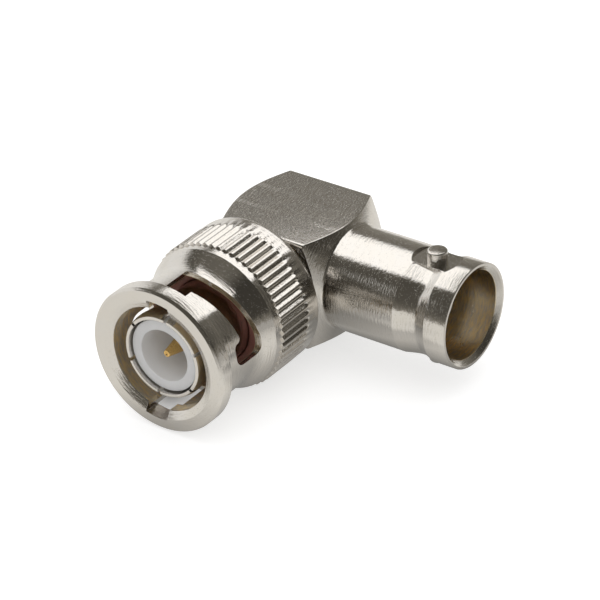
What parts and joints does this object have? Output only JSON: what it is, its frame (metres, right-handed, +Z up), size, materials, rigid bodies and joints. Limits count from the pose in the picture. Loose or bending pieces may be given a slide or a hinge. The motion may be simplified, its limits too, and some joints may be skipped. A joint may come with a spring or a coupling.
{
  "type": "right-angle coaxial bayonet adapter",
  "caption": "Right-angle coaxial adapter: a bayonet plug with a knurled coupling nut at one end of a square elbow, and a bayonet jack at the other.",
  "frame": {"origin": "on the plug's axis, at the plug's reference plane, the tip of its sprung outer contact", "axes": "-Y out of the plug, +X out of the jack, whose axis crosses the plug's at Y = 19.65 mm, +Z up; the plug and the jack both lie in the Z = 0 plane"},
  "size_m": [0.026, 0.0257, 0.014],
  "materials": {
    "nickel_body": "bright nickel plate over machined brass",
    "nickel_shell": "bright nickel plate over turned brass",
    "nickel_nut": "bright nickel plate, rolled straight knurl",
    "washer_steel": "plain stamped",
    "spring_bronze": "plain spring strip",
    "red_silicone": "smooth moulded silicone",
    "ptfe": "turned fluoropolymer, slightly waxy",
    "gold": "gold plate"
  },
  "bodies": {
    "elbow": {"elbow_body": "nickel_body", "rear_cap": "nickel_body", "plug_shell": "nickel_shell", "gasket": "red_silicone", "plug_insulator": "ptfe", "plug_pin": "gold", "jack_insulator": "ptfe", "jack_contact": "gold", "wave_washer": "spring_bronze"},
    "washer": {"thrust_washer": "washer_steel"},
    "nut": {"coupling_nut": "nickel_nut"}
  },
  "joints": [
    {"name": "nut_pull", "type": "slide", "parent": "elbow", "child": "washer", "axis": [0, -1, 0], "range_m": [0, 0.0011], "stiffness_N_per_m": 5000, "springref_m": -0.0003, "deforming": ["wave_washer"]},
    {"name": "nut_turn", "type": "hinge", "parent": "washer", "child": "nut", "pos_m": [0, 0, 0], "axis": [0, 1, 0], "continuous": true}
  ]
}
